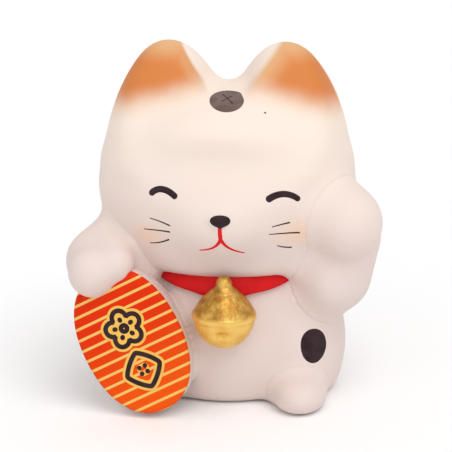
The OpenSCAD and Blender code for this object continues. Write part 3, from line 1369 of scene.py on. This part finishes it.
def stroke(
    name: str,
    ground: SkinPatch | TabletForm,
    path: np.ndarray,
    half: float,
    taper: Pair = (1.0, 1.0),
    closed: bool = False,
    base: float = 0.0,
    lift: float = 0.09,
) -> bpy.types.Object:
    """A brush stroke: a flat rounded section carried along a path on its ground.

    Args:
        name: the piece's name.
        ground: the place it is painted on.
        path: its middle line, array (n, 2).
        half: half its width.
        taper: share of that width left at its start and its end.
        closed: True if the path closes on itself.
        base: height of the ground's surface.
        lift: thickness of the paint at its middle.

    Returns:
        The piece.
    """
    if closed:
        tangent = np.roll(path, -1, 0) - np.roll(path, 1, 0)
    else:
        tangent = np.gradient(path, axis=0)
    normal = np.stack([-tangent[:, 1], tangent[:, 0]], -1)
    normal /= np.linalg.norm(normal, axis=1, keepdims=True)
    run = np.concatenate([[0.0], np.cumsum(np.linalg.norm(np.diff(path, axis=0), axis=1))])
    share = run / run[-1]
    width = half * (taper[0] + (taper[1] - taper[0]) * share)
    if not closed:
        near_end = np.minimum(run, run[-1] - run) / np.maximum(width, 1e-6)
        width = width * np.sqrt(np.clip(1.0 - (1.0 - np.minimum(near_end, 1.0)) ** 2, 0.03, 1.0))
    t = np.linspace(0.0, 2.0 * math.pi, 14, endpoint=False)[None, :]
    side = boxy(np.cos(t), 0.8) * width[:, None]
    height = np.where(np.sin(t) > 0.0, lift, SINK) * boxy(np.sin(t), 0.7)
    flat = path[:, None] + normal[:, None] * side[..., None]
    grid = ground.at(flat[..., 0], flat[..., 1], base + height + 0.0 * side)
    ends = None if closed else ground.at(path[[0, -1], 0], path[[0, -1], 1], np.full(2, base))
    poles = (None, None) if closed else (ends[0], ends[1])
    return grid_object(name, grid, *poles, wrap=closed)


def blot(
    name: str,
    ground: SkinPatch | TabletForm,
    middle: Pair,
    outline: Callable[[np.ndarray], np.ndarray],
    base: float = 0.0,
    lift: float = 0.10,
) -> bpy.types.Object:
    """A filled spot of paint: a thin lens with a given outline.

    Args:
        name: the piece's name.
        ground: the place it is painted on.
        middle: its middle.
        outline: its radius for each angle.
        base: height of the ground's surface.
        lift: thickness of the paint at its middle.

    Returns:
        The piece.
    """
    a = np.radians(np.arange(120) * 3.0)[None, :]
    ring = np.linspace(0.05, 1.0, 16)[:, None]
    share = np.concatenate([ring, ring[::-1]])
    top = np.concatenate([lift * np.sqrt(1.0 - ring**6), -SINK * np.sqrt(1.0 - ring[::-1] ** 6)])
    r = outline(a) * share
    grid = ground.at(middle[0] + r * np.cos(a), middle[1] + r * np.sin(a), base + top)
    m = np.array(middle)
    poles = ground.at(np.full(2, m[0]), np.full(2, m[1]), base + np.array([lift, -SINK]))
    return grid_object(name, grid, poles[0], poles[1])


@dataclass
class Face:
    """The painted face: eyes, nose, mouth, whiskers and the spots on forehead and hip."""

    cat: Cat
    ink: bpy.types.Material
    red: bpy.types.Material
    spot: bpy.types.Material
    eye_half: float = 0.98
    whisker_half: float = 0.24
    mouth_half: float = 0.60

    def _paint(self, piece: bpy.types.Object, material: bpy.types.Material) -> None:
        """Dresses a stroke that lies on the glaze-free ceramic."""
        dress(piece, material, "bisque")

    def build(self) -> None:
        """Lays on every stroke."""
        self._eyes()
        self._muzzle()
        self._whiskers()
        self._spots()

    def _eyes(self) -> None:
        """Two closed, smiling eyes: one arched stroke each."""
        right = SkinPatch(self.cat, (-16.4, -29.0, 66.3), -24.0, 8.0)
        left = SkinPatch(self.cat, (18.0, -28.2, 65.6), 24.0, 8.0)
        arcs = (("right_eye", right, ((-3.9, -1.5), (-1.2, 2.5), (4.7, -1.4))),
                ("left_eye", left, ((-5.3, -1.1), (0.2, 2.2), (4.8, -1.8))))
        for name, ground, points in arcs:
            arch = bezier(points, 60)
            self._paint(stroke(name, ground, arch, self.eye_half, (1.0, 0.85)), self.ink)

    def _muzzle(self) -> None:
        """The nose, and the mouth's stem and its two curls."""
        ground = SkinPatch(self.cat, (0.6, -36.5, 56.0), 0.0, -10.0)
        self._paint(blot("nose", ground, (0.05, 4.15), self._nose, lift=0.35), self.ink)
        mouth = (("mouth_stem", ((-0.05, 2.4), (-0.1, 0.5), (0.1, -1.6)), (0.95, 1.0)),
                 ("mouth_right", ((0.2, -1.1), (-0.9, -5.4), (-6.2, -6.5)), (0.95, 0.36)),
                 ("mouth_left", ((0.0, -1.1), (1.4, -5.5), (6.5, -7.7)), (0.95, 0.36)))
        for name, points, taper in mouth:
            self._paint(stroke(name, ground, bezier(points, 50), self.mouth_half, taper), self.red)

    def _whiskers(self) -> None:
        """Three fine strokes on each cheek, each a little wider at its far end."""
        cheeks = (("right", SkinPatch(self.cat, (-18.0, -27.5, 54.0), -30.0, -15.0),
                   (((-2.0, 4.0), (1.6, 3.6), (5.3, 3.0)), ((-4.8, 0.1), (0.0, 0.4), (4.8, 0.9)),
                    ((-3.7, -4.4), (0.2, -4.0), (3.7, -1.9)))),
                  ("left", SkinPatch(self.cat, (18.0, -27.0, 54.0), 30.0, -15.0),
                   (((-4.4, 3.0), (-1.6, 3.3), (1.4, 3.6)), ((-5.1, 0.8), (0.0, 0.1), (4.7, 0.2)),
                    ((-1.6, -3.7), (0.7, -4.7), (3.2, -4.8)))))
        for side, ground, whiskers in cheeks:
            for number, points in enumerate(whiskers, 1):
                piece = stroke(f"{side}_whisker_{number}", ground, bezier(points, 36),
                               self.whisker_half, (0.6, 1.1), lift=0.05)
                self._paint(piece, self.ink)

    def _spots(self) -> None:
        """The forehead's spot with its scratched cross, a fleck beside it, and the hip's spot."""
        brow = SkinPatch(self.cat, (1.0, -17.0, 90.0), 0.0, 66.0)
        self._paint(blot("forehead_spot", brow, (0.0, 0.7), self._forehead), self.spot)
        for name, points in (("scratch_1", ((-1.6, 3.9), (0.2, 1.2), (1.8, -1.8))),
                             ("scratch_2", ((1.2, 2.8), (0.1, 1.0), (-1.6, -0.5)))):
            piece = stroke(name, brow, bezier(points, 24), 0.22, (0.8, 0.8), base=0.09, lift=0.05)
            self._paint(piece, self.ink)
        beside = SkinPatch(self.cat, (12.0, -19.5, 87.3), 20.0, 55.0)
        self._paint(blot("fleck", beside, (0.0, 0.0), self._fleck, lift=0.05), self.spot)
        hip = SkinPatch(self.cat, (26.8, -21.0, 18.5), 34.0, 8.0)
        self._paint(blot("hip_spot", hip, (0.0, 0.0), self._hip), self.ink)

    @staticmethod
    def _nose(a: np.ndarray) -> np.ndarray:
        """Radius of the nose: a wide oval, slightly turned, that comes to a soft point below."""
        return oval(a + 0.14, 2.85, 1.6) + 0.5 * np.exp(-(((a - 1.5 * math.pi) / 0.45) ** 2))

    @staticmethod
    def _forehead(a: np.ndarray) -> np.ndarray:
        """Radius of the forehead's spot: an oval with one side a little flattened."""
        return oval(a, 5.0, 6.3) * (1.0 - 0.10 * np.exp(10.0 * (np.cos(a - 0.42) - 1.0)))

    @staticmethod
    def _fleck(a: np.ndarray) -> np.ndarray:
        """Radius of the fleck: the same all round."""
        return np.full_like(a, 0.34)

    @staticmethod
    def _hip(a: np.ndarray) -> np.ndarray:
        """Radius of the hip's spot: an upright oval, slightly uneven."""
        return oval(a, 4.4, 5.15) * (1.0 + 0.02 * np.sin(3.0 * a + 1.0))


@dataclass
class Tablet:
    """Oval tablet with its printed film and two crests of flowers."""

    form: TabletForm
    clay: bpy.types.Material
    film: bpy.types.Material
    ink: bpy.types.Material
    gilt: bpy.types.Material
    blossom: Pair = (-0.1, 4.3)
    lozenge: Pair = (-0.4, -8.8)
    line: float = 0.72
    rim: float = 0.75

    def _plate(
        self, name: str, back: float, front: float, inset: float, edge: float
    ) -> bpy.types.Object:
        """A closed oval plate whose section has round edges.

        Args:
            name: the piece's name.
            back: where the plate starts, out of the middle plane.
            front: where it ends.
            inset: how far its outline lies inside the tablet's.
            edge: radius of its edges.

        Returns:
            The piece.
        """
        a = np.radians(np.arange(180) * 2.0)[None, :]
        power = 2.0 / self.form.square
        across, along = boxy(np.cos(a), power), boxy(np.sin(a), power)
        flat, level = np.linspace(0.06, 1.0, 14), np.ones(14)
        b = np.radians(np.linspace(0.0, 90.0, 8))
        bend, climb = edge * (1.0 - np.sin(b)), edge * (1.0 - np.cos(b))
        inward = np.concatenate([edge * level, bend, bend[::-1], edge * level])
        scale = np.concatenate([flat, np.ones(16), flat[::-1]])
        out = np.concatenate([back * level, back + climb, (front - climb)[::-1], front * level])
        rx = ((self.form.rx - inset - inward) * scale)[:, None]
        rz = ((self.form.rz - inset - inward) * scale)[:, None]
        grid = self.form.at(rx * across, rz * along, out[:, None])
        poles = self.form.at(np.zeros(2), np.zeros(2), np.array([back, front]))
        return grid_object(name, grid, poles[0], poles[1])

    def build(self) -> None:
        """Builds the plate, the printed film and the crests."""
        half, edge = self.form.thickness / 2.0, self.form.edge
        plate = self._plate("tablet_plate", -half, half, 0.0, edge)
        dress(plate, self.clay, "bisque", "koban_tablet")
        film = self._plate("tablet_print", half - 2.0 * edge, half + FILM, -FILM, edge)
        dress(film, self.film, "transfer_print", "koban_transfer")
        top = half + FILM
        ground = blot("blossom_ground", self.form, self.blossom, self._lobes, base=top, lift=0.05)
        dress(ground, self.gilt, "transfer_print")
        for crest, draw in (("blossom", self._blossom()), ("lozenge", self._lozenge())):
            for number, (path, closed) in enumerate(draw, 1):
                under = stroke(f"{crest}_gilt_{number}", self.form, path, self.line + self.rim,
                               closed=closed, base=top, lift=0.05)
                over = stroke(f"{crest}_ink_{number}", self.form, path, self.line,
                              closed=closed, base=top + 0.03, lift=0.09)
                dress(under, self.gilt, "transfer_print")
                dress(over, self.ink, "transfer_print")

    @staticmethod
    def _lobes(a: np.ndarray) -> np.ndarray:
        """Radius of the plum blossom's outline."""
        return 3.5 + 2.0 * np.abs(np.cos(2.5 * (a - math.pi / 2.0))) ** 0.8

    @staticmethod
    def _ring(middle: Pair, radius: np.ndarray) -> tuple[np.ndarray, bool]:
        """Closed path: a radius for each of the crests' angles, carried round a middle."""
        x, z = middle
        return np.stack([x + radius * np.cos(TURNS), z + radius * np.sin(TURNS)], -1), True

    @staticmethod
    def _spokes(
        middle: Pair, count: int, first: float, reach: Pair
    ) -> list[tuple[np.ndarray, bool]]:
        """Short open strokes that stand evenly round a middle.

        Args:
            middle: what they stand round.
            count: how many there are.
            first: angle of the first, in radians.
            reach: distances of their two ends from the middle.

        Returns:
            Each path, with False because it is open.
        """
        x, z = middle
        shapes = []
        for b in (first + k * 2.0 * math.pi / count for k in range(count)):
            ends = [(x + q * math.cos(b), z + q * math.sin(b)) for q in reach]
            shapes.append((bezier(ends, 16), False))
        return shapes

    def _blossom(self) -> list[tuple[np.ndarray, bool]]:
        """Plum blossom: an outline of five lobes, a ring at its heart and five stamens.

        Returns:
            Each path, with True if it is closed.
        """
        lobes = self._ring(self.blossom, self._lobes(TURNS))
        heart = self._ring(self.blossom, np.full_like(TURNS, 0.9))
        return [lobes, heart, *self._spokes(self.blossom, 5, math.pi / 2.0, (1.9, 3.5))]

    def _lozenge(self) -> list[tuple[np.ndarray, bool]]:
        """Flower lozenge: a rounded diamond round four petals.

        Returns:
            Each path, with True if it is closed.
        """
        corners = np.abs(np.cos(TURNS)) ** 1.25 + np.abs(np.sin(TURNS)) ** 1.25
        diamond = self._ring(self.lozenge, 5.3 / corners**0.8)
        return [diamond, *self._spokes(self.lozenge, 4, math.pi / 4.0, (0.6, 2.0))]


@dataclass(frozen=True)
class Stopper:
    """The base's plug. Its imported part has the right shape, and only takes a finish."""

    part: bpy.types.Object
    plastic: bpy.types.Material

    def build(self) -> None:
        """Gives the part its finish."""
        self.part.data.materials.clear()
        self.part.data.materials.append(self.plastic)
        log.info("%s: packed part, finished in %s", self.part.name, self.plastic.name)


# ---------------------------------------------------------------- studio


@dataclass(frozen=True)
class Lamp:
    """A broad soft light: the side it comes from, its width in degrees, and its strength."""

    name: str
    side: Triple
    spread: float
    strength: float


@dataclass
class Studio:
    """Camera, floor and soft lights."""

    target: Triple = (-0.6, 0.0, 48.2)
    distance: float = 520.0
    azimuth: float = 4.5
    elevation: float = 16.0
    frame_width: float = 135.6
    sensor: float = 36.0
    sky: float = 0.715
    floor_half: float = 3.0
    key: Lamp = Lamp("key", (0.34, -0.50, 1.0), 46.0, 1.20)
    fill: Lamp = Lamp("fill", (-0.35, -1.0, 0.34), 70.0, 0.38)

    def build(self) -> None:
        """Makes the camera first, then the floor, the sky and the lights."""
        scene = bpy.context.scene
        a, e = math.radians(self.azimuth), math.radians(self.elevation)
        back = np.array((math.sin(a) * math.cos(e), -math.cos(a) * math.cos(e), math.sin(e)))
        data = bpy.data.cameras.new("camera")
        data.sensor_width = self.sensor
        data.lens = self.sensor * self.distance / self.frame_width
        data.clip_start, data.clip_end = 0.01, 20.0
        camera = bpy.data.objects.new("camera", data)
        camera.location = (np.array(self.target) + back * self.distance) * MM
        camera.rotation_euler = (math.radians(90.0 - self.elevation), 0.0, a)
        scene.collection.objects.link(camera)
        scene.camera = camera
        scene.view_settings.view_transform = "Standard"
        self._floor()
        self._sky()
        self._light(self.key)
        self._light(self.fill)

    def _floor(self) -> None:
        """A pale matt floor."""
        mesh = bpy.data.meshes.new("floor")
        r = self.floor_half
        mesh.from_pydata([(-r, -r, 0), (r, -r, 0), (r, r, 0), (-r, r, 0)], [], [(0, 1, 2, 3)])
        floor = bpy.data.objects.new("floor", mesh)
        bpy.context.scene.collection.objects.link(floor)
        s = Shader("floor_white")
        tone = s.mix(s.noise(3.0), (0.93, 0.93, 0.93, 1.0), (0.95, 0.95, 0.95, 1.0))
        mesh.materials.append(s.finish(tone, 0.9, Specular_IOR_Level=0.1))

    def _sky(self) -> None:
        """Even white light from all round."""
        world = bpy.data.worlds.new("studio")
        world.use_nodes = True
        background = world.node_tree.nodes["Background"]
        background.inputs["Color"].default_value = (1.0, 1.0, 1.0, 1.0)
        background.inputs["Strength"].default_value = self.sky
        bpy.context.scene.world = world

    def _light(self, light: Lamp) -> None:
        """Hangs one lamp.

        Args:
            light: what it is like.
        """
        data = bpy.data.lights.new(light.name, "SUN")
        data.angle, data.energy = math.radians(light.spread), light.strength
        lamp = bpy.data.objects.new(light.name, data)
        x, y, z = light.side
        lamp.rotation_euler = (math.atan2(math.hypot(x, y), z), 0.0, math.atan2(x, -y))
        bpy.context.scene.collection.objects.link(lamp)


def main() -> None:
    """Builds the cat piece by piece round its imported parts."""
    logging.basicConfig(level=logging.INFO, format="%(name)s: %(message)s")
    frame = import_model()
    Studio().build()
    cat = Cat()
    bisque = Bisque("bisque").make()
    ears = (EarPaint(Side.RIGHT, (-8.2, 0.0, 96.6), (0.827, 0.0, 0.562)),
            EarPaint(Side.LEFT, (7.8, 0.0, 95.6), (-0.80, 0.0, 0.60), soft=2.2,
                     thin_reach=8.0, thin_share=0.9))
    cheeks = (Spray((-21.0, -25.2, 52.3), (8.0, 8.0, 5.0), (0.0, 0.0, 0.0), 0.95, 0.55),
              Spray((22.5, -25.4, 54.2), (10.0, 9.0, 6.5), (0.0, 0.0, 0.0), 0.95, 0.6))
    painted = Bisque("painted_bisque").make(ears, cheeks)
    Castings(cat, bisque, painted).build()
    red = Paint("collar_red", (0.60, 0.008, 0.011, 1.0), (0.66, 0.012, 0.014, 1.0)).make()
    Collar(cat, red).build()
    Bell(GoldPaint("bell_gold").make()).build()
    ink = Paint("ink_black", (0.026, 0.013, 0.016, 1.0), (0.042, 0.024, 0.027, 1.0)).make()
    mouth = Paint("mouth_red", (0.68, 0.010, 0.013, 1.0), (0.74, 0.018, 0.020, 1.0)).make()
    taupe = Paint("taupe_spot", (0.13, 0.085, 0.073, 1.0), (0.19, 0.135, 0.118, 1.0)).make()
    Face(cat, ink, mouth, taupe).build()
    gilt = Paint("gilt_line", (0.84, 0.50, 0.10, 1.0), (0.80, 0.45, 0.08, 1.0)).make()
    film = Transfer("transfer_print", cat.tablet.centre, cat.tablet.turn).make()
    Tablet(cat.tablet, bisque, film, ink, gilt).build()
    Stopper(frame["nodes"]["stopper"], SoftPlastic("soft_plug").make()).build()


if __name__ == "__main__":
    main()
